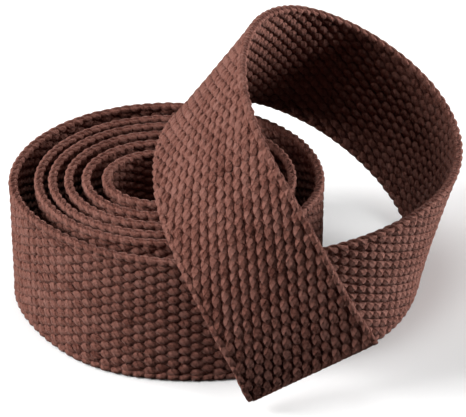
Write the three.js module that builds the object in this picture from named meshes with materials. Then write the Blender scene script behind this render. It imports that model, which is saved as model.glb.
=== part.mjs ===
// A belt of plain woven webbing, rolled on its edge into a flat coil. The outer turn leaves the
// coil in front, makes one open loop on the right and comes back over the coil, so that the free
// end hangs in front of it. Millimetres, +Z up, +X to the right, -Y to the front. The strap stands
// on its lower edge at Z = 0, and the origin is the middle of the bounding box's bottom.
//
// The strap is one weave on the real belt. Here it is cut into lengths: one for each turn of the
// coil, and one for each straight or bend of the loop. Each length is a web with a firm selvedge
// cord along its upper and its lower edge. The strap flexes at four places, where a wider gap
// leaves room for the hinge that stands for the flex.

import * as THREE from 'three';

// Driving dimensions of the strap.
const STRAP_WIDTH = 40;
const STRAP_THICKNESS = 3;
const SELVEDGE_HEIGHT = 2.2;
const SELVEDGE_THICKNESS = 2.6;

// Clearances between neighbouring solids.
const SEAM_GAP = 0.3;
const FLEX_GAP = 1.8;

// The coil. Radii are those of the strap's middle surface, and gaps are the air between turns.
const OUTER_TURN_RADIUS = 45.9;
const TURN_GAPS = [5.1, 1.6, 2.2, 2.6, 3.2];
const STEP_START = 172;
const STEP_SPAN = 85;
const JOIN_ANGLE = 168;
const COIL_WOUND = 1960;
const COIL_OVAL = 0.8;
const COIL_SHIFT = 0.4;
const CORE_SHIFT = 1.4;
const CORE_SHIFT_END = 1440;

// The free strap, from the coil to the cut end: points that pull the strap's lower edge and its
// upper edge, from the coil's left side on. They suit a strap of ROUTE_WIDTH on a coil of
// ROUTE_RADIUS, and follow both.
const ROUTE_WIDTH = 40;
const ROUTE_RADIUS = 45.9;
const ROUTE = [
  [[-36.6, -30.8, 0], [-36.5, -29, 40]],
  [[-21.5, -46.5, 0], [-19, -42.3, 40]],
  [[1, -52, 0], [1.5, -48, 40]],
  [[22.5, -50.5, 0], [23, -48, 40]],
  [[42.5, -44, 0], [43, -43.5, 40]],
  [[60.5, -34.5, 0], [60.5, -34.5, 40]],
  [[72, -18.5, 0], [75, -21.5, 39.5]],
  [[77.5, 1, 1.5], [85.5, -6, 40]],
  [[77.5, 19, 4.5], [90.5, 11, 42]],
  [[72, 35, 10], [89, 28, 45.5]],
  [[62, 46.5, 17], [81, 42, 52]],
  [[48.5, 53, 25.5], [68.5, 49.5, 60]],
  [[34, 52.5, 34], [54.5, 49.5, 68.5]],
  [[21, 45, 42], [41, 42.5, 76.5]],
  [[10, 32, 47.5], [30.5, 29, 81.5]],
  [[2, 15.5, 51.5], [25, 11.5, 84]],
  [[-3, -2.5, 52.5], [22.5, -7, 83]],
  [[-4, -20.5, 51.5], [24, -25, 80]],
  [[-2, -38.5, 48.5], [29.5, -41, 73.5]],
  [[3.5, -54, 42], [37, -52, 63]],
  [[10.5, -64, 31.5], [46, -57.5, 49]],
  [[18.5, -70, 17.5], [53, -60, 34.5]],
  [[24.3, -67.8, 5], [61.7, -62.3, 21.2]],
];
const PULL_ANGLE = 25.7;

// Where the free strap is divided, in mm from the coil's left side along its middle line.
const OUTER_TURN_FLEX = 10;
const LOOP_FLEX = 62;
const RIGHT_BEND_START = 163;
const FAR_SIDE_START = 225;
const TOP_BEND_START = 291;
const TAIL_FLEX = 327;
const TIP_FLEX = 398;
const END_SKEW = 1.5;

// How finely the path is measured and how long the facets are.
const COIL_SAMPLES = 1100;
const SAMPLES_PER_POINT = 18;
const FACET_LENGTH = 6;
const CORD_SIDES = 8;

const radians = THREE.MathUtils.degToRad;

// The radius of the coil after the strap has wound inwards through this many degrees. Each turn
// is round, and steps in to the next one between its right side and its front.
function coilRadius(wound) {
  let radius = OUTER_TURN_RADIUS;
  TURN_GAPS.forEach((gap, turn) => {
    const start = 360 * turn + STEP_START;
    const step = THREE.MathUtils.smoothstep(wound, start, start + STEP_SPAN);
    radius -= (STRAP_THICKNESS + gap) * step;
  });
  return radius;
}

// The lower edge of the coil. It is longer from left to right by COIL_OVAL on each side. It sits
// left of the middle by COIL_SHIFT, and its core by CORE_SHIFT more.
function coilPoint(wound) {
  const shift = COIL_SHIFT + CORE_SHIFT * THREE.MathUtils.clamp(wound / CORE_SHIFT_END, 0, 1);
  const angle = radians(JOIN_ANGLE - wound);
  const radius = coilRadius(wound);
  return new THREE.Vector3(
    (radius + COIL_OVAL) * Math.cos(angle) - shift,
    (radius - COIL_OVAL) * Math.sin(angle),
    0,
  );
}

// The route's control points, with three on the outer turn before it, which carry the coil's
// circle into the free strap, and one past the cut end, which ends the strap on the last point.
function routePairs() {
  const plan = OUTER_TURN_RADIUS / ROUTE_RADIUS;
  const height = STRAP_WIDTH / ROUTE_WIDTH;
  const pull = 3 / (2 + Math.cos(radians(PULL_ANGLE)));
  const pullX = pull * (OUTER_TURN_RADIUS + COIL_OVAL);
  const pullY = pull * (OUTER_TURN_RADIUS - COIL_OVAL);
  const pairs = [-1, 0, 1].map((step) => {
    const angle = radians(JOIN_ANGLE + step * PULL_ANGLE);
    const x = pullX * Math.cos(angle) - COIL_SHIFT;
    const lower = new THREE.Vector3(x, pullY * Math.sin(angle), 0);
    return { lower, upper: lower.clone().setZ(STRAP_WIDTH) };
  });
  ROUTE.forEach((pair) => {
    const [lower, upper] = pair.map(([x, y, z]) => new THREE.Vector3(x * plan, y * plan, z * height));
    pairs.push({ lower, upper });
  });
  const [before, last] = pairs.slice(-2);
  pairs.push({
    lower: last.lower.clone().multiplyScalar(2).sub(before.lower),
    upper: last.upper.clone().multiplyScalar(2).sub(before.upper),
  });
  return pairs;
}

// A point of the uniform cubic B-spline through four control points.
function blend(points, t) {
  const weights = [
    (1 - t) ** 3,
    3 * t ** 3 - 6 * t ** 2 + 4,
    -3 * t ** 3 + 3 * t ** 2 + 3 * t + 1,
    t ** 3,
  ];
  const sum = new THREE.Vector3();
  points.forEach((point, i) => sum.addScaledVector(point, weights[i] / 6));
  return sum;
}

// The whole strap as stations along its middle line: the middle of the section, the direction
// across it from lower to upper edge, and the distance from the coil's left side, which is
// negative on the coil.
function strapStations() {
  const up = new THREE.Vector3(0, 0, 1);
  const stations = [];
  for (let i = 0; i < COIL_SAMPLES; i += 1) {
    const lower = coilPoint(COIL_WOUND * (1 - i / COIL_SAMPLES));
    stations.push({ middle: lower.addScaledVector(up, STRAP_WIDTH / 2), across: up.clone() });
  }
  const coilCount = stations.length;
  const pairs = routePairs();
  const spans = pairs.length - 3;
  for (let i = 0; i <= spans * SAMPLES_PER_POINT; i += 1) {
    const span = Math.min(Math.floor(i / SAMPLES_PER_POINT), spans - 1);
    const t = i / SAMPLES_PER_POINT - span;
    const four = pairs.slice(span, span + 4);
    const lower = blend(four.map((pair) => pair.lower), t);
    const across = blend(four.map((pair) => pair.upper), t).sub(lower).normalize();
    stations.push({ middle: lower.addScaledVector(across, STRAP_WIDTH / 2), across });
  }
  let along = 0;
  stations.forEach((station, i) => {
    if (i > 0) along += station.middle.distanceTo(stations[i - 1].middle);
    station.at = along;
  });
  const join = stations[coilCount].at;
  stations.forEach((station) => {
    station.at -= join;
  });
  return stations;
}

const stations = strapStations();
const INNER_END = stations[0].at;
const CUT_END = stations[stations.length - 1].at;

// The station at a distance from the coil's left side.
function stationAt(at) {
  const found = stations.findIndex((station) => station.at > at);
  const next = found < 1 ? (at > 0 ? stations.length - 1 : 1) : found;
  const [a, b] = [stations[next - 1], stations[next]];
  const share = (at - a.at) / (b.at - a.at);
  return {
    middle: a.middle.clone().lerp(b.middle, share),
    across: a.across.clone().lerp(b.across, share).normalize(),
  };
}

// The distance from the coil's left side at which the strap has wound inwards by this angle.
function distanceWound(wound) {
  return stations[Math.round(COIL_SAMPLES * (1 - wound / COIL_WOUND))].at;
}

// A length of the strap's middle line as a curve to extrude along. The section's first axis runs
// across the strap and its second runs out of its outer face. The last length ends in a cut that
// leans by END_SKEW degrees, so the lower corner is ahead of the upper one.
class StrapCurve extends THREE.Curve {
  constructor(from, to, skew) {
    super();
    Object.assign(this, { from, to, skew });
  }

  getPoint(t) {
    return stationAt(THREE.MathUtils.lerp(this.from, this.to, t)).middle;
  }

  getSpacedPoints(steps) {
    return Array.from({ length: steps + 1 }, (unused, i) => this.getPoint(i / steps));
  }

  computeFrenetFrames(steps) {
    const frames = { tangents: [], normals: [], binormals: [] };
    for (let i = 0; i <= steps; i += 1) {
      const at = THREE.MathUtils.lerp(this.from, this.to, i / steps);
      const { across } = stationAt(at);
      const ahead = stationAt(Math.min(at + 1, CUT_END)).middle;
      const along = ahead.sub(stationAt(Math.max(at - 1, INNER_END)).middle).normalize();
      const out = new THREE.Vector3().crossVectors(along, across).normalize();
      const lean = Math.tan(radians((this.skew * i) / steps));
      frames.tangents.push(along);
      frames.normals.push(across.clone().addScaledVector(along, -lean));
      frames.binormals.push(out);
    }
    return frames;
  }
}

// The section of the web: a plain rectangle between the selvedges.
function webSection() {
  const half = STRAP_WIDTH / 2 - SELVEDGE_HEIGHT - SEAM_GAP;
  const outer = STRAP_THICKNESS / 2;
  return new THREE.Shape([
    new THREE.Vector2(-half, -outer),
    new THREE.Vector2(half, -outer),
    new THREE.Vector2(half, outer),
    new THREE.Vector2(-half, outer),
  ]);
}

// The section of a selvedge cord on the upper edge (side 1) or the lower edge (side -1).
function selvedgeSection(side) {
  const centre = side * (STRAP_WIDTH - SELVEDGE_HEIGHT) / 2;
  const corner = 1 / Math.cos(Math.PI / CORD_SIDES);
  const points = [];
  for (let i = 0; i < CORD_SIDES; i += 1) {
    const angle = ((i + 0.5) / CORD_SIDES) * 2 * Math.PI;
    const across = centre + (SELVEDGE_HEIGHT / 2) * corner * Math.cos(angle);
    const out = (SELVEDGE_THICKNESS / 2) * corner * Math.sin(angle);
    points.push(new THREE.Vector2(across, out));
  }
  return new THREE.Shape(points);
}

const PIECES = [
  { suffix: 'web', section: webSection(), colour: 0x6e4640, roughness: 0.9 },
  { suffix: 'upper_selvedge', section: selvedgeSection(1), colour: 0x7d5148, roughness: 0.85 },
  { suffix: 'lower_selvedge', section: selvedgeSection(-1), colour: 0x5e3a35, roughness: 0.85 },
];

// One length of the strap: its web and its two selvedge cords. startGap and endGap are the air
// that it shares with the length before it and the length after it.
function strapLength(name, from, to, startGap, endGap, skew = 0) {
  const curve = new StrapCurve(from + startGap / 2, to - endGap / 2, skew);
  const steps = Math.max(3, Math.ceil((curve.to - curve.from) / FACET_LENGTH));
  return PIECES.map(({ suffix, section, colour, roughness }) => {
    const geometry = new THREE.ExtrudeGeometry(section, {
      steps,
      bevelEnabled: false,
      extrudePath: curve,
    });
    const material = new THREE.MeshStandardMaterial({ color: colour, roughness, metalness: 0 });
    const mesh = new THREE.Mesh(geometry, material);
    mesh.name = `${name}_${suffix}`;
    return mesh;
  });
}

const belt = new THREE.Group();
belt.name = 'belt';

// The coil's inner turns, from the core outwards. Each starts and ends at the right side.
const turnStarts = TURN_GAPS.map((gap, turn) => distanceWound(360 * turn + JOIN_ANGLE)).reverse();
turnStarts.forEach((end, i) => {
  const from = i === 0 ? INNER_END : turnStarts[i - 1];
  belt.add(...strapLength(`turn_${turnStarts.length + 1 - i}`, from, end, i && SEAM_GAP, SEAM_GAP));
});

// The outer turn and the loop, to the cut end.
const OUTER_TURN_START = distanceWound(JOIN_ANGLE);
const FREE_LENGTHS = [
  ['outer_turn_back', OUTER_TURN_START, OUTER_TURN_FLEX, SEAM_GAP, FLEX_GAP],
  ['outer_turn_front', OUTER_TURN_FLEX, LOOP_FLEX, FLEX_GAP, FLEX_GAP],
  ['exit_band', LOOP_FLEX, RIGHT_BEND_START, FLEX_GAP, SEAM_GAP],
  ['right_bend', RIGHT_BEND_START, FAR_SIDE_START, SEAM_GAP, SEAM_GAP],
  ['far_side', FAR_SIDE_START, TOP_BEND_START, SEAM_GAP, SEAM_GAP],
  ['top_bend', TOP_BEND_START, TAIL_FLEX, SEAM_GAP, FLEX_GAP],
  ['tail', TAIL_FLEX, TIP_FLEX, FLEX_GAP, FLEX_GAP],
  ['tail_tip', TIP_FLEX, CUT_END, FLEX_GAP, 0, END_SKEW],
];
FREE_LENGTHS.forEach((length) => belt.add(...strapLength(...length)));

// The group is moved so that the origin is the middle of the bounding box's bottom.
const box = new THREE.Box3().setFromObject(belt, true);
belt.position.set(-(box.min.x + box.max.x) / 2, -(box.min.y + box.max.y) / 2, -box.min.z);

export default belt;
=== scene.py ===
"""The looks of a belt of coarse woven webbing, rolled on its edge into a flat coil, with its free
end looped back over it. The weave is real geometry: warp ends that pass over and under a weft
yarn, two strands that wind round each other along each selvedge, and a flat core of stuffer yarns
between the two faces. Metres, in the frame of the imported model."""

import math

import bpy
import numpy as np
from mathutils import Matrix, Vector


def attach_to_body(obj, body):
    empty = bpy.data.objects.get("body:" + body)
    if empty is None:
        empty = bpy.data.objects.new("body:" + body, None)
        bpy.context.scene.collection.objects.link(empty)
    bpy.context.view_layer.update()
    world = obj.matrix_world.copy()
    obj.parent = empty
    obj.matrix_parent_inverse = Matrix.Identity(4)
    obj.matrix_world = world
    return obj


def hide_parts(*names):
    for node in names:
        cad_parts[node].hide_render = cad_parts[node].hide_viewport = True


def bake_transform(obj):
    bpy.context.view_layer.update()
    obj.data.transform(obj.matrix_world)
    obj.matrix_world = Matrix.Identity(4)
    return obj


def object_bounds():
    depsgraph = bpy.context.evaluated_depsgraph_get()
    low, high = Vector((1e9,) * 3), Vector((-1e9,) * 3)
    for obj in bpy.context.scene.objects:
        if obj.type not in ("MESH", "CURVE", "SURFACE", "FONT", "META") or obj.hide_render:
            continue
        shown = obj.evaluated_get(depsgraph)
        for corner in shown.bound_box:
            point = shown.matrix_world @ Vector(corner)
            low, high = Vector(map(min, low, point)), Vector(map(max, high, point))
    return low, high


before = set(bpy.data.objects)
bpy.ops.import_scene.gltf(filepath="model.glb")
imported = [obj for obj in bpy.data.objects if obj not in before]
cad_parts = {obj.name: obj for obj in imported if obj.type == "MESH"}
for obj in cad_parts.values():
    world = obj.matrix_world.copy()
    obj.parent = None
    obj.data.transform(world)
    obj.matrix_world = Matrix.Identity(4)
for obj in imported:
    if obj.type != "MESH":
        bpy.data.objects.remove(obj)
cad_low, cad_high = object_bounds()

# ---- The strap, with the same sizes and route as the CAD model ----------------------------------

STRAP_WIDTH = 0.040
STRAP_THICKNESS = 0.003
OUTER_TURN_RADIUS = 0.0459
TURN_GAPS = (0.0051, 0.0016, 0.0022, 0.0026, 0.0032)
STEP_START = 172
STEP_SPAN = 85
JOIN_ANGLE = 168
COIL_WOUND = 1960
COIL_OVAL = 0.0008
COIL_SHIFT = 0.0004
CORE_SHIFT = 0.0014
CORE_SHIFT_END = 1440
PULL_ANGLE = 25.7
END_SKEW = 1.5
COIL_SAMPLES = 2200
SAMPLES_PER_POINT = 30

# Points that pull the lower edge and the upper edge of the free strap.
ROUTE = (
    ((-0.0366, -0.0308, 0), (-0.0365, -0.029, 0.040)),
    ((-0.0215, -0.0465, 0), (-0.019, -0.0423, 0.040)),
    ((0.001, -0.052, 0), (0.0015, -0.048, 0.040)),
    ((0.0225, -0.0505, 0), (0.023, -0.048, 0.040)),
    ((0.0425, -0.044, 0), (0.043, -0.0435, 0.040)),
    ((0.0605, -0.0345, 0), (0.0605, -0.0345, 0.040)),
    ((0.072, -0.0185, 0), (0.075, -0.0215, 0.0395)),
    ((0.0775, 0.001, 0.0015), (0.0855, -0.006, 0.040)),
    ((0.0775, 0.019, 0.0045), (0.0905, 0.011, 0.042)),
    ((0.072, 0.035, 0.010), (0.089, 0.028, 0.0455)),
    ((0.062, 0.0465, 0.017), (0.081, 0.042, 0.052)),
    ((0.0485, 0.053, 0.0255), (0.0685, 0.0495, 0.060)),
    ((0.034, 0.0525, 0.034), (0.0545, 0.0495, 0.0685)),
    ((0.021, 0.045, 0.042), (0.041, 0.0425, 0.0765)),
    ((0.010, 0.032, 0.0475), (0.0305, 0.029, 0.0815)),
    ((0.002, 0.0155, 0.0515), (0.025, 0.0115, 0.084)),
    ((-0.003, -0.0025, 0.0525), (0.0225, -0.007, 0.083)),
    ((-0.004, -0.0205, 0.0515), (0.024, -0.025, 0.080)),
    ((-0.002, -0.0385, 0.0485), (0.0295, -0.041, 0.0735)),
    ((0.0035, -0.054, 0.042), (0.037, -0.052, 0.063)),
    ((0.0105, -0.064, 0.0315), (0.046, -0.0575, 0.049)),
    ((0.0185, -0.070, 0.0175), (0.053, -0.060, 0.0345)),
    ((0.0243, -0.0678, 0.005), (0.0617, -0.0623, 0.0212)),
)


def smooth(t):
    t = np.clip(t, 0, 1)
    return t * t * (3 - 2 * t)


def coil_points(wound):
    """The lower edge of the coil after winding inwards through these angles, in degrees."""
    radius = np.full(len(wound), OUTER_TURN_RADIUS)
    for turn, gap in enumerate(TURN_GAPS):
        step = smooth((wound - 360 * turn - STEP_START) / STEP_SPAN)
        radius -= (STRAP_THICKNESS + gap) * step
    shift = COIL_SHIFT + CORE_SHIFT * np.clip(wound / CORE_SHIFT_END, 0, 1)
    angle = np.radians(JOIN_ANGLE - wound)
    x = (radius + COIL_OVAL) * np.cos(angle) - shift
    y = (radius - COIL_OVAL) * np.sin(angle)
    return np.stack([x, y, np.zeros(len(wound))], axis=1)


def route_pairs():
    """(lower, upper) control points of the free strap, as an array of pairs."""
    pull = 3 / (2 + math.cos(math.radians(PULL_ANGLE)))
    pull_x = pull * (OUTER_TURN_RADIUS + COIL_OVAL)
    pull_y = pull * (OUTER_TURN_RADIUS - COIL_OVAL)
    pairs = []
    for step in (-1, 0, 1):
        angle = math.radians(JOIN_ANGLE + step * PULL_ANGLE)
        x, y = pull_x * math.cos(angle) - COIL_SHIFT, pull_y * math.sin(angle)
        pairs.append(((x, y, 0), (x, y, STRAP_WIDTH)))
    pairs = np.array(pairs + list(ROUTE), float)
    return np.concatenate([pairs, [2 * pairs[-1] - pairs[-2]]])


def spline(points):
    """The uniform cubic B-spline of these control points."""
    spans = len(points) - 3
    place = np.arange(spans * SAMPLES_PER_POINT + 1) / SAMPLES_PER_POINT
    span = np.minimum(place.astype(int), spans - 1)
    t = (place - span)[:, None]
    weights = (
        (1 - t) ** 3,
        3 * t**3 - 6 * t**2 + 4,
        -3 * t**3 + 3 * t**2 + 3 * t + 1,
        t**3,
    )
    return sum(weight * points[span + i] for i, weight in enumerate(weights)) / 6


def unit(v):
    return v / np.linalg.norm(v, axis=-1, keepdims=True)


class Strap:
    """The strap's middle surface. Distances run along its middle line from the coil's left side,
    and are negative on the coil. across points from lower to upper edge, out of the outer face."""

    PAST_END = 0.008

    def __init__(self):
        wound = COIL_WOUND * (1 - np.arange(COIL_SAMPLES) / COIL_SAMPLES)
        up = np.array([0.0, 0.0, 1.0])
        coil = coil_points(wound) + up * STRAP_WIDTH / 2
        pairs = route_pairs()
        lower, upper = spline(pairs[:, 0]), spline(pairs[:, 1])
        across = unit(upper - lower)
        free = lower + across * STRAP_WIDTH / 2
        middle = np.concatenate([coil, free])
        across = np.concatenate([np.tile(up, (len(coil), 1)), across])
        steps = np.linalg.norm(np.diff(middle, axis=0), axis=1)
        at = np.concatenate([[0], np.cumsum(steps)])
        at -= at[len(coil)]
        self.cut_end, self.inner_end = at[-1], at[0]
        self.wound, self.coil_at = wound[::-1], at[: len(coil)][::-1]
        # Carried straight on past both ends, for yarns that end a little past the cut.
        before = middle[0] - unit(middle[1] - middle[0]) * self.PAST_END
        after = middle[-1] + unit(middle[-1] - middle[-2]) * self.PAST_END
        middle = np.concatenate([[before], middle, [after]])
        across = np.concatenate([across[:1], across, across[-1:]])
        self.at = np.concatenate([[at[0] - self.PAST_END], at, [at[-1] + self.PAST_END]])
        along = unit(np.gradient(middle, self.at, axis=0))
        out = unit(np.cross(along, across))
        self.parts = np.concatenate([middle, across, along, out], axis=1)
        self.place_on_frame()

    def place_on_frame(self):
        """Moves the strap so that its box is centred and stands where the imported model's does."""
        middle, across, _, out = np.split(self.parts, 4, axis=1)
        edges = [
            middle + side * across * STRAP_WIDTH / 2 + face * out * STRAP_THICKNESS / 2
            for side in (-1, 1)
            for face in (-1, 1)
        ]
        inside = (self.at >= self.inner_end) & (self.at <= self.cut_end)
        edges = np.concatenate([edge[inside] for edge in edges])
        low, high = edges.min(axis=0), edges.max(axis=0)
        self.shift = (np.array(cad_low) + np.array(cad_high) - low - high) / 2
        self.parts[:, :3] += self.shift

    def frames(self, at):
        """middle, across, along and out at these distances."""
        columns = [np.interp(at, self.at, column) for column in self.parts.T]
        middle, across, along, out = np.split(np.stack(columns, axis=1), 4, axis=1)
        return middle, unit(across), unit(along), unit(out)

    def wound_to(self, wound):
        """The distance at which the strap has wound inwards through this angle."""
        return float(np.interp(wound, self.wound, self.coil_at))


strap = Strap()

# ---- Camera ------------------------------------------------------------------------------------

CAMERA_ELEVATION = 31.4
CAMERA_DISTANCE = 0.7575
CAMERA_TARGET = Vector((0.0197, 0.0, 0.0280))
FOCAL_LENGTH = 191.1
SENSOR_WIDTH = 36


def make_camera():
    data = bpy.data.cameras.new("camera")
    data.lens = FOCAL_LENGTH
    data.sensor_width = SENSOR_WIDTH
    data.clip_start = 0.01
    data.clip_end = 20
    camera = bpy.data.objects.new("camera", data)
    bpy.context.scene.collection.objects.link(camera)
    tilt = math.radians(CAMERA_ELEVATION)
    back = Vector((0, -math.cos(tilt), math.sin(tilt)))
    camera.location = CAMERA_TARGET + Vector(strap.shift) + back * CAMERA_DISTANCE
    camera.rotation_mode = "QUATERNION"
    camera.rotation_quaternion = (-back).to_track_quat("-Z", "Y")
    bpy.context.scene.camera = camera


make_camera()

# ---- Weave ------------------------------------------------------------------------------------

# The warp's places across the strap, of which the first and the last are the selvedges'.
WARP_ENDS = 26
EDGE_PLACE = 0.01870
END_PITCH = 2 * EDGE_PLACE / (WARP_ENDS - 1)

# The length of one pick of the weft, which is one float of the warp.
PICK = 0.00335

# A warp end where it floats over the weft, and where it dives from one face to the other.
FLOAT_RISE = 0.00040
FLOAT_HALF_WIDTH = 0.00127
FLOAT_HALF_THICKNESS = 0.00092
FLOAT_SLANT = 0.00012
DIVE_HALF_WIDTH = 0.00068
DIVE_HALF_THICKNESS = 0.00088

# How unlike each other the floats are.
RISE_SPREAD = 0.08
WIDTH_SPREAD = 0.06
ASIDE_SPREAD = 0.00008
TONE_SPREAD = 0.16
END_TONE_SPREAD = 0.10

# The two strands of a selvedge.
EDGE_RISE = 0.00068
EDGE_SWAY = 0.00018
EDGE_HALF_WIDTH = 0.00090
EDGE_HALF_THICKNESS = 0.00078
EDGE_TONE = 0.56
EDGE_TONE_SPREAD = 0.12
EDGE_RISE_SPREAD = 0.03
EDGE_WIDTH_SPREAD = 0.04
EDGE_THICKENING = 0.08
EDGE_RISE_AT_CUT = 0.8 * EDGE_RISE

# A yarn's section is a squarish oval at low fullness, and a plain oval at 1.
FULLNESS = 0.52
SWELL = 0.035

WEFT_HALF_WIDTH = 0.00100
WEFT_HALF_THICKNESS = 0.00030
WEFT_TURN_HALF_WIDTH = 0.00045
WEFT_TURN_DEPTH = 0.0005
WEFT_REACH = EDGE_PLACE - 0.0002
WEFT_TONE = 0.45
WEFT_SIDES = 6

CORE_HALF_WIDTH = 0.0188
CORE_HALF_THICKNESS = 0.00012
CORE_RINGS_PER_PICK = 1.5

# The cut end, where the yarns flatten into one straight face over the last part of a pick, and
# splay a little over the last few picks.
CUT_TAPER = 0.7
CUT_HALF_WIDTH = 0.00118
CUT_HALF_THICKNESS = 0.00130
CUT_SPREAD = 0.055
CUT_SPREAD_PICKS = 4
CORNER_RADIUS = 0.0028

rng = np.random.default_rng(7)
SPARE_PICKS = 4
PICKS = int(round((strap.cut_end - strap.inner_end) / PICK)) + SPARE_PICKS
rise_noise = rng.normal(0, 1, (WARP_ENDS, PICKS))
width_noise = rng.normal(0, 1, (WARP_ENDS, PICKS))
side_noise = rng.normal(0, 1, (WARP_ENDS, PICKS))
tone_noise = rng.normal(0, 1, (WARP_ENDS, PICKS))
end_tone = rng.normal(0, 1, WARP_ENDS)


def spread_at_cut(aside, picks, cut):
    """Places across the strap, splayed towards the cut, where nothing holds the yarns together."""
    if cut is None:
        return aside
    near = smooth(1 - (cut - picks) / CUT_SPREAD_PICKS)
    return aside * (1 + CUT_SPREAD * near)


class MeshMaker:
    """Collects closed tubes, then makes one mesh of them. Each corner gets a yarn coordinate:
    how far along the yarn it is, in picks, and how far round. Each vertex gets a tone and a
    height, which is 0 at the middle of the strap and 1 at its faces."""

    def __init__(self):
        self.points, self.faces, self.coords, self.tones, self.heights = [], [], [], [], []
        self.count = 0

    def tube(self, centres, first, second, along_yarn, tone, middle, out, sides):
        """A tube through centres, with these half axes at each of them, closed at both ends.
        middle and out are those of the strap there."""
        rings = len(centres)
        turn = np.arange(sides) / sides
        cos, sin = np.cos(2 * np.pi * turn), np.sin(2 * np.pi * turn)
        cos, sin = (np.sign(v) * np.abs(v) ** FULLNESS for v in (cos, sin))
        swell = 1 + SWELL * rng.normal(0, 1, (rings, sides, 1)).clip(-2, 2)
        ring = first[:, None] * cos[:, None] + second[:, None] * sin[:, None]
        ring = centres[:, None] + ring * swell
        self.points.append(ring.reshape(-1, 3))
        self.points.append(centres[[0, -1]])
        self.tones.append(np.repeat(tone, sides))
        self.tones.append(tone[[0, -1]])
        from_middle = ring - middle[:, None]
        height = np.abs(np.sum(from_middle * out[:, None], axis=2)) / (STRAP_THICKNESS / 2)
        self.heights.append(height.ravel())
        self.heights.append(height.mean(axis=1)[[0, -1]])
        i, k = np.meshgrid(np.arange(rings - 1), np.arange(sides), indexing="ij")
        i, k = i.ravel(), k.ravel()
        after = (k + 1) % sides
        base = self.count
        quads = np.stack(
            [i * sides + k, i * sides + after, (i + 1) * sides + after, (i + 1) * sides + k],
            axis=1,
        )
        u0, u1 = along_yarn[i], along_yarn[i + 1]
        v0, v1 = k / sides, (k + 1) / sides
        coords = np.stack([u0, v0, u0, v1, u1, v1, u1, v0], axis=1).reshape(-1, 4, 2)
        self.faces.append((quads + base, coords))
        k = np.arange(sides)
        after = (k + 1) % sides
        last = (rings - 1) * sides
        start_cap = np.stack([np.full(sides, rings * sides), after, k], axis=1)
        end_cap = np.stack([np.full(sides, rings * sides + 1), last + k, last + after], axis=1)
        for cap, u in ((start_cap, along_yarn[0]), (end_cap, along_yarn[-1])):
            coords = np.full((sides, 3, 2), u)
            coords[:, :, 1] = 0.5
            self.faces.append((cap + base, coords))
        self.count += rings * sides + 2

    def make(self, name, material):
        points = np.concatenate(self.points)
        mesh = bpy.data.meshes.new(name)
        corners = np.concatenate([faces.ravel() for faces, coords in self.faces])
        sizes = np.concatenate([np.full(len(f), f.shape[1]) for f, coords in self.faces])
        coords = np.concatenate([coords.reshape(-1, 2) for faces, coords in self.faces])
        mesh.vertices.add(len(points))
        mesh.vertices.foreach_set("co", points.ravel().astype(np.float32))
        mesh.loops.add(len(corners))
        mesh.loops.foreach_set("vertex_index", corners.astype(np.int32))
        mesh.polygons.add(len(sizes))
        starts = np.concatenate([[0], np.cumsum(sizes)[:-1]])
        mesh.polygons.foreach_set("loop_start", starts.astype(np.int32))
        mesh.polygons.foreach_set("use_smooth", np.ones(len(sizes), bool))
        mesh.update(calc_edges=True)
        layer = mesh.uv_layers.new(name="Yarn")
        layer.data.foreach_set("uv", coords.ravel().astype(np.float32))
        for label, values in (("tone", self.tones), ("height", self.heights)):
            attribute = mesh.attributes.new(label, "FLOAT", "POINT")
            attribute.data.foreach_set("value", np.concatenate(values).astype(np.float32))
        mesh.validate()
        mesh.materials.append(material)
        piece = bpy.data.objects.new(name, mesh)
        bpy.context.scene.collection.objects.link(piece)
        return piece


def pick_values(noise, end, picks):
    """A random value of an end, at the middle of each pick and smooth between them."""
    middles = np.arange(PICKS) + 0.5
    return np.interp(picks, middles, noise[end])


def end_place(end):
    """How far from the middle of the strap a warp end lies."""
    return (end - (WARP_ENDS - 1) / 2) * END_PITCH


def add_warp_end(maker, end, first_pick, last_pick, rings, sides, cut=None):
    """A warp end between two picks. It floats on the outer face over every second pick and on the
    inner face over the others, and its neighbours do the opposite."""
    count = int(round((last_pick - first_pick) * rings))
    picks = np.linspace(first_pick, last_pick, count + 1)
    if cut is not None:
        picks = first_pick + (picks - first_pick) * (cut - first_pick) / (last_pick - first_pick)
    middle, across, along, out = strap.frames(strap.inner_end + picks * PICK)
    phase = np.pi * (picks + end)
    sine, cosine = np.sin(phase), np.cos(phase)
    over = np.abs(sine)
    rise = FLOAT_RISE * (1 + RISE_SPREAD * pick_values(rise_noise, end, picks))
    height = rise * sine * (1.4 - 0.4 * sine**2)
    slope = rise * np.pi / PICK * cosine * (1.4 - 1.2 * sine**2)
    wide = FLOAT_HALF_WIDTH * (1 + WIDTH_SPREAD * pick_values(width_noise, end, picks))
    half_width = DIVE_HALF_WIDTH + (wide - DIVE_HALF_WIDTH) * over**0.6
    half_thickness = DIVE_HALF_THICKNESS + (FLOAT_HALF_THICKNESS - DIVE_HALF_THICKNESS) * over
    if cut is not None:
        free = smooth((cut - picks) / CUT_TAPER)
        height, slope = height * free, slope * free
        half_width = CUT_HALF_WIDTH + (half_width - CUT_HALF_WIDTH) * free
        half_thickness = CUT_HALF_THICKNESS + (half_thickness - CUT_HALF_THICKNESS) * free
    aside = end_place(end) + FLOAT_SLANT * cosine
    aside += ASIDE_SPREAD * pick_values(side_noise, end, picks)
    aside = spread_at_cut(aside, picks, cut)
    centres = middle + across * aside[:, None] + out * height[:, None]
    steep = unit(out - along * slope[:, None])
    tone = 0.5 + TONE_SPREAD * pick_values(tone_noise, end, picks)
    tone += END_TONE_SPREAD * end_tone[end]
    maker.tube(
        centres,
        across * half_width[:, None],
        steep * -half_thickness[:, None],
        picks,
        tone,
        middle,
        out,
        sides,
    )


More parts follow.
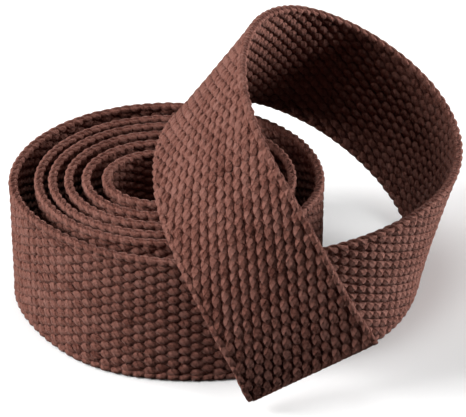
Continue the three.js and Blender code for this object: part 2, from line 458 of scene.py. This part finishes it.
def add_edge_strand(maker, side, partner, first_pick, last_pick, rings, sides, cut=None):
    """One of the two strands at an edge, which wind round each other and round the weft's turns:
    the outermost warp end, or its partner, the cord of the selvedge."""
    count = int(round((last_pick - first_pick) * rings))
    picks = np.linspace(first_pick, last_pick if cut is None else cut, count + 1)
    middle, across, along, out = strap.frames(strap.inner_end + picks * PICK)
    end = WARP_ENDS - 1 if side > 0 else 0
    phase = np.pi * (picks + end + (1 if partner else 0))
    noise = pick_values(rise_noise, end, picks + (0.5 if partner else 0))
    height = EDGE_RISE * (1 + EDGE_RISE_SPREAD * noise) * np.sin(phase)
    slope = EDGE_RISE * np.pi / PICK * np.cos(phase)
    if cut is not None:
        free = smooth((cut - picks) / CUT_TAPER)
        rest = -EDGE_RISE_AT_CUT if partner else EDGE_RISE_AT_CUT
        height = rest + (height - rest) * free
        slope = slope * free
    aside = side * (EDGE_PLACE + EDGE_SWAY * np.cos(phase))
    aside = spread_at_cut(aside, picks, cut)
    centres = middle + across * aside[:, None] + out * height[:, None]
    steep = unit(out - along * slope[:, None])
    wider = EDGE_WIDTH_SPREAD * pick_values(width_noise, end, picks)
    half_width = EDGE_HALF_WIDTH * (1 + wider)
    half_thickness = EDGE_HALF_THICKNESS * (1 + EDGE_THICKENING * np.cos(phase) ** 2)
    tone = EDGE_TONE + EDGE_TONE_SPREAD * pick_values(tone_noise, end, picks)
    maker.tube(
        centres,
        across * half_width[:, None],
        steep * -half_thickness[:, None],
        picks,
        tone,
        middle,
        out,
        sides,
    )


def add_weft(maker, first_pick, last_pick):
    """The weft: one yarn that crosses the strap at the middle of each pick and turns back inside
    the strands of the upper and the lower edge by turns."""
    places, asides = [], []
    for pick in range(int(first_pick), int(last_pick)):
        side = 1 if pick % 2 else -1
        run = np.linspace(-WEFT_REACH, WEFT_REACH, 15) * side
        places.append(np.full(len(run), pick + 0.5))
        asides.append(run)
        if pick + 1 < int(last_pick):
            turn = np.linspace(0, np.pi, 7)[1:-1]
            places.append(pick + 1 - 0.5 * np.cos(turn))
            asides.append(side * (WEFT_REACH + WEFT_TURN_DEPTH * np.sin(turn)))
    places, asides = np.concatenate(places), np.concatenate(asides)
    middle, across, _, out = strap.frames(strap.inner_end + places * PICK)
    centres = middle + across * asides[:, None]
    forward = unit(np.gradient(centres, axis=0))
    flat = unit(np.cross(out, forward))
    in_turn = np.abs(asides) > WEFT_REACH * 0.99
    width = np.where(in_turn, WEFT_TURN_HALF_WIDTH, WEFT_HALF_WIDTH)
    tone = np.full(len(centres), WEFT_TONE)
    length = np.concatenate([[0], np.cumsum(np.linalg.norm(np.diff(centres, axis=0), axis=1))])
    maker.tube(
        centres,
        flat * width[:, None],
        out * WEFT_HALF_THICKNESS,
        length / PICK,
        tone,
        middle,
        out,
        WEFT_SIDES,
    )


def make_core(name, first_pick, last_pick, material):
    """The flat layer of stuffer yarns between the faces: a thin closed ribbon."""
    count = int(round((last_pick - first_pick) * CORE_RINGS_PER_PICK))
    picks = np.linspace(first_pick, last_pick, count + 1)
    middle, across, _, out = strap.frames(strap.inner_end + picks * PICK)
    corners = ((-1, -1), (1, -1), (1, 1), (-1, 1))
    ring = np.stack(
        [
            middle + side * CORE_HALF_WIDTH * across + face * CORE_HALF_THICKNESS * out
            for side, face in corners
        ],
        axis=1,
    )
    faces = []
    for i in range(count):
        for k in range(4):
            a, b = 4 * i + k, 4 * i + (k + 1) % 4
            faces.append((a, b, b + 4, a + 4))
    faces.append((3, 2, 1, 0))
    faces.append(tuple(4 * count + k for k in range(4)))
    mesh = bpy.data.meshes.new(name)
    mesh.from_pydata([tuple(p) for p in ring.reshape(-1, 3)], [], faces)
    mesh.validate()
    mesh.materials.append(material)
    piece = bpy.data.objects.new(name, mesh)
    bpy.context.scene.collection.objects.link(piece)
    return piece


# ---- Materials ---------------------------------------------------------------------------------


class Nodes:
    """Short names for building a material's nodes."""

    def __init__(self, name):
        self.material = bpy.data.materials.new(name)
        self.material.use_nodes = True
        self.tree = self.material.node_tree
        self.shader = self.tree.nodes["Principled BSDF"]

    def add(self, kind, inputs=None, **settings):
        node = self.tree.nodes.new(kind)
        for key, value in settings.items():
            setattr(node, key, value)
        for key, value in (inputs or {}).items():
            self.put(node.inputs[key], value)
        return node

    def put(self, socket, value):
        if isinstance(value, bpy.types.NodeSocket):
            self.tree.links.new(value, socket)
        else:
            socket.default_value = value

    def math(self, operation, a, b=0.0):
        return self.add("ShaderNodeMath", {0: a, 1: b}, operation=operation).outputs[0]

    def mix(self, share, a, b):
        node = self.add("ShaderNodeMix", data_type="RGBA")
        self.put(node.inputs["Factor"], share)
        self.put(node.inputs[6], a)
        self.put(node.inputs[7], b)
        return node.outputs[2]

    def noise(self, vector, scale, detail=2.0, roughness=0.5):
        inputs = {"Vector": vector, "Scale": scale, "Detail": detail, "Roughness": roughness}
        return self.add("ShaderNodeTexNoise", inputs).outputs["Fac"]

    def spread(self, value, low, high, to_low=0.0, to_high=1.0):
        inputs = {
            "Value": value,
            "From Min": low,
            "From Max": high,
            "To Min": to_low,
            "To Max": to_high,
        }
        return self.add("ShaderNodeMapRange", inputs).outputs["Result"]


def cotton(name, dark, middle, light, plies):
    """Dyed cotton yarn: plies that twist round it, fibres along them, uneven dye, and painted shade
    that darkens it down between the floats and in the plies' grooves."""
    n = Nodes(name)
    yarn = n.add("ShaderNodeUVMap", uv_map="Yarn").outputs["UV"]
    parts = n.add("ShaderNodeSeparateXYZ", {"Vector": yarn})
    along, around = parts.outputs["X"], parts.outputs["Y"]
    tone = n.add("ShaderNodeAttribute", attribute_name="tone").outputs["Fac"]
    height = n.add("ShaderNodeAttribute", attribute_name="height").outputs["Fac"]
    place = n.add("ShaderNodeTexCoord").outputs["Object"]

    # Plies: grooves that run round the yarn as they run along it. Their colour is made darker in
    # the grooves, which is painted shade.
    turned = n.math("ADD", n.math("MULTIPLY", around, plies), n.math("MULTIPLY", along, 2.3))
    wobble = n.noise(place, 900.0, 2.0)
    turned = n.math("ADD", turned, n.math("MULTIPLY", wobble, 0.5))
    wave = n.math("ABSOLUTE", n.math("SINE", n.math("MULTIPLY", turned, math.pi)))
    ply = n.math("POWER", wave, 0.5)

    # Fibres: fine streaks that lie nearly along the plies.
    turned_back = n.math("SUBTRACT", around, n.math("MULTIPLY", along, 0.2))
    streak_across = n.math("MULTIPLY", turned_back, 60)
    streak_along = n.math("MULTIPLY", along, 7.0)
    streak_place = n.add("ShaderNodeCombineXYZ", {"X": streak_across, "Y": streak_along, "Z": tone})
    fibre = n.noise(streak_place.outputs["Vector"], 1.0, 3.0, 0.65)
    fuzz = n.noise(place, 2600.0, 3.0, 0.7)
    blotch = n.noise(place, 160.0, 3.0, 0.6)
    patch = n.noise(place, 850.0, 3.0, 0.7)

    # Colour: painted shade, darker down between the floats and in the plies' grooves and lighter on
    # top of the floats, with dye that varies by yarn and place.
    # Painted shade: the lower a point of the yarn lies, down between the floats, the darker its
    # colour.
    share = n.math("MULTIPLY", n.spread(height, 0.24, 0.58), 0.54)
    for value, usual, weight in (
        (tone, 0.5, 0.75),
        (fibre, 0.5, 0.9),
        (blotch, 0.5, 0.5),
        (patch, 0.5, 1.5),
        (fuzz, 0.5, 1.0),
        # The plies' term is painted shade in their grooves.
        (ply, 0.75, 0.30),
    ):
        swing = n.math("MULTIPLY", n.math("SUBTRACT", value, usual), weight)
        share = n.math("ADD", share, swing)
    low = n.mix(n.spread(share, 0.0, 0.5), dark, middle)
    colour = n.mix(n.spread(share, 0.5, 1.0), low, light)
    n.put(n.shader.inputs["Base Color"], colour)
    rough = n.spread(fibre, 0.3, 0.7, 0.92, 0.80)
    n.put(n.shader.inputs["Roughness"], rough)
    n.put(n.shader.inputs["Specular IOR Level"], 0.12)
    n.put(n.shader.inputs["Sheen Weight"], 0.15)
    n.put(n.shader.inputs["Sheen Roughness"], 0.45)
    n.put(n.shader.inputs["Sheen Tint"], (0.85, 0.58, 0.50, 1))

    # Relief of the plies and fibres.
    relief = n.math("ADD", n.math("MULTIPLY", ply, 0.6), n.math("MULTIPLY", fibre, 0.5))
    relief = n.math("ADD", relief, n.math("MULTIPLY", fuzz, 0.35))
    relief = n.math("ADD", relief, n.math("MULTIPLY", patch, 1.2))
    bump = n.add("ShaderNodeBump", {"Height": relief, "Strength": 1.0, "Distance": 0.00042})
    n.put(n.shader.inputs["Normal"], bump.outputs["Normal"])
    return n.material


def core_cloth(name, dark, light):
    """The stuffer yarns between the faces, seen only deep between the floats, in a very dark colour
    that is painted shade for the gaps there.
    """
    n = Nodes(name)
    place = n.add("ShaderNodeTexCoord").outputs["Object"]
    fibre = n.noise(place, 2400.0, 3.0, 0.6)
    n.put(n.shader.inputs["Base Color"], n.mix(fibre, dark, light))
    n.put(n.shader.inputs["Roughness"], 0.95)
    n.put(n.shader.inputs["Specular IOR Level"], 0.15)
    bump = n.add("ShaderNodeBump", {"Height": fibre, "Strength": 0.5, "Distance": 0.0002})
    n.put(n.shader.inputs["Normal"], bump.outputs["Normal"])
    return n.material


# The first colour is both painted shade down between the floats and darker dye.
WARP_SHADE_AND_DARK_DYE = (0.075, 0.020, 0.013, 1)
WARP_MIDDLE = (0.188, 0.073, 0.054, 1)
WARP_LIGHT = (0.232, 0.104, 0.082, 1)
warp_cotton = cotton("warp_cotton", WARP_SHADE_AND_DARK_DYE, WARP_MIDDLE, WARP_LIGHT, plies=3)
weft_cotton = cotton("weft_cotton", WARP_SHADE_AND_DARK_DYE, WARP_MIDDLE, WARP_MIDDLE, plies=2)
edge_cotton = cotton("edge_cotton", WARP_SHADE_AND_DARK_DYE, WARP_MIDDLE, WARP_LIGHT, plies=3)
# The core's very dark colours are painted shade for the gaps between the floats.
core_cotton_painted_shade = core_cloth("core_cotton_painted_shade", (0.020, 0.007, 0.006, 1), (0.070, 0.026, 0.021, 1))

# ---- The strap's lengths -----------------------------------------------------------------------

# Each length ends at a whole pick. rings and sides say how finely its yarns are made.
FINE = (6, 8)
PLAIN = (4, 6)


def whole_pick(at):
    return int(round((at - strap.inner_end) / PICK))


OUTER_TURN_FLEX = 0.010
LOOP_FLEX = 0.062
TAIL_FLEX = 0.327
TIP_FLEX = 0.398

# name, where it ends, fineness, body or (body, body, flex, half zone), CAD lengths that it covers
LENGTHS = (
    ("turns_6_5", strap.wound_to(1248), PLAIN, "coil", ("turn_6", "turn_5")),
    ("turn_4", strap.wound_to(888), PLAIN, "coil", ("turn_4",)),
    ("turn_3", strap.wound_to(528), PLAIN, "coil", ("turn_3",)),
    ("turn_2", strap.wound_to(168), PLAIN, "coil", ("turn_2",)),
    ("outer_turn_back", -0.010, FINE, "coil", ("outer_turn_back",)),
    (
        "outer_turn_front",
        0.036,
        FINE,
        ("coil", "outer_turn", OUTER_TURN_FLEX, 0.016),
        ("outer_turn_front",),
    ),
    ("exit_flex", 0.086, FINE, ("outer_turn", "loop", LOOP_FLEX, 0.019), ()),
    ("exit_band", 0.163, FINE, "loop", ("exit_band",)),
    ("right_bend", 0.225, FINE, "loop", ("right_bend",)),
    ("far_side", 0.298, FINE, "loop", ("far_side",)),
    ("top_bend", 0.352, FINE, ("loop", "tail", TAIL_FLEX, 0.021), ("top_bend",)),
    ("tail", 0.374, FINE, "tail", ("tail",)),
    ("tail_tip", strap.cut_end, FINE, ("tail", "tail_tip", TIP_FLEX, 0.019), ("tail_tip",)),
)


def end_cut(aside):
    """The pick at which a yarn at this place across the strap meets the oblique cut, whose lower
    corner is worn round."""
    at = strap.cut_end - aside * math.tan(math.radians(END_SKEW))
    inside = max(0, CORNER_RADIUS - (aside + STRAP_WIDTH / 2))
    at -= CORNER_RADIUS - math.sqrt(CORNER_RADIUS**2 - inside**2)
    return (at - strap.inner_end) / PICK


def attach(piece, bodies):
    if isinstance(bodies, str):
        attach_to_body(piece, bodies)
    else:
        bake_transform(piece)


def make_length(name, first_pick, last_pick, fineness, bodies, covers):
    rings, sides = fineness
    is_end = name == "tail_tip"
    warp = MeshMaker()
    for end in range(1, WARP_ENDS - 1):
        cut = end_cut(end_place(end)) if is_end else None
        add_warp_end(warp, end, first_pick, last_pick, rings, sides, cut)
    web = warp.make(f"{name}_warp", warp_cotton)
    weft = MeshMaker()
    add_weft(weft, first_pick, last_pick - (1 if is_end else 0))
    filling = weft.make(f"{name}_weft", weft_cotton)
    cords = []
    for label, side in (("upper", 1), ("lower", -1)):
        cord = MeshMaker()
        cut = end_cut(side * EDGE_PLACE) if is_end else None
        for partner in (False, True):
            add_edge_strand(cord, side, partner, first_pick, last_pick, rings, sides, cut)
        cords.append(cord.make(f"{name}_{label}_edge", edge_cotton))
    core_end = last_pick - (1.5 if is_end else 0)
    core = make_core(f"{name}_core", first_pick, core_end, core_cotton_painted_shade)
    attach(web, bodies)
    attach(filling, bodies)
    attach(core, bodies)
    for cord in cords:
        attach(cord, bodies)
    for node in covers:
        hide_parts(f"{node}_web")
        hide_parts(f"{node}_upper_selvedge")
        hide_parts(f"{node}_lower_selvedge")


def make_strap():
    first_pick = 0
    for name, ends_at, fineness, bodies, covers in LENGTHS:
        last_pick = whole_pick(ends_at)
        make_length(name, first_pick, last_pick, fineness, bodies, covers)
        first_pick = last_pick


make_strap()

# ---- Floor and light ---------------------------------------------------------------------------


FLOOR_REACH = 4.0
FLOOR_LEVEL = -0.0001
SQUARE = ((-1, -1), (1, -1), (1, 1), (-1, 1))


def make_floor():
    n = Nodes("floor")
    place = n.add("ShaderNodeTexCoord").outputs["Object"]
    grain = n.noise(place, 3.0, 2.0)
    n.put(n.shader.inputs["Base Color"], n.mix(grain, (0.86, 0.86, 0.86, 1), (0.9, 0.9, 0.9, 1)))
    n.put(n.shader.inputs["Roughness"], 0.9)
    n.put(n.shader.inputs["Specular IOR Level"], 0.1)
    mesh = bpy.data.meshes.new("floor")
    corners = [(x * FLOOR_REACH, y * FLOOR_REACH, 0) for x, y in SQUARE]
    mesh.from_pydata(corners, [], [(0, 1, 2, 3)])
    mesh.materials.append(n.material)
    floor = bpy.data.objects.new("floor", mesh)
    floor.location.z = FLOOR_LEVEL
    floor.visible_diffuse = False
    bpy.context.scene.collection.objects.link(floor)


# name, place, what it points at, size, watts
SOFTBOXES = (
    ("left", (-1.0, 0.2, 0.5), (0, 0, 0.03), (0.7, 0.45), 9),
    ("left front", (-0.95, -0.3, 0.6), (0, 0, 0.03), (0.6, 0.4), 15),
    ("right", (1.1, 0.3, 0.18), (0, 0, 0.03), (0.8, 0.3), 22),
    ("right above", (1.0, 0.25, 0.5), (0, 0, 0.03), (0.6, 0.4), 5),
    ("top", (0.0, 0.05, 1.2), (0, 0, 0), (0.5, 0.5), 4.5),
)
ROOM_LIGHT = 0.01


def add_softbox(name, place, target, size, watts):
    data = bpy.data.lights.new(name, "AREA")
    data.shape = "RECTANGLE"
    data.size, data.size_y = size
    data.energy = watts
    light = bpy.data.objects.new(name, data)
    light.location = place
    aim = Vector(target) - Vector(place)
    light.rotation_mode = "QUATERNION"
    light.rotation_quaternion = aim.to_track_quat("-Z", "Y")
    bpy.context.scene.collection.objects.link(light)


def make_light():
    world = bpy.data.worlds.new("studio")
    bpy.context.scene.world = world
    world.use_nodes = True
    background = world.node_tree.nodes["Background"]
    background.inputs["Color"].default_value = (1, 1, 1, 1)
    background.inputs["Strength"].default_value = ROOM_LIGHT
    for softbox in SOFTBOXES:
        add_softbox(*softbox)
    bpy.context.scene.view_settings.view_transform = "Standard"


make_floor()
make_light()
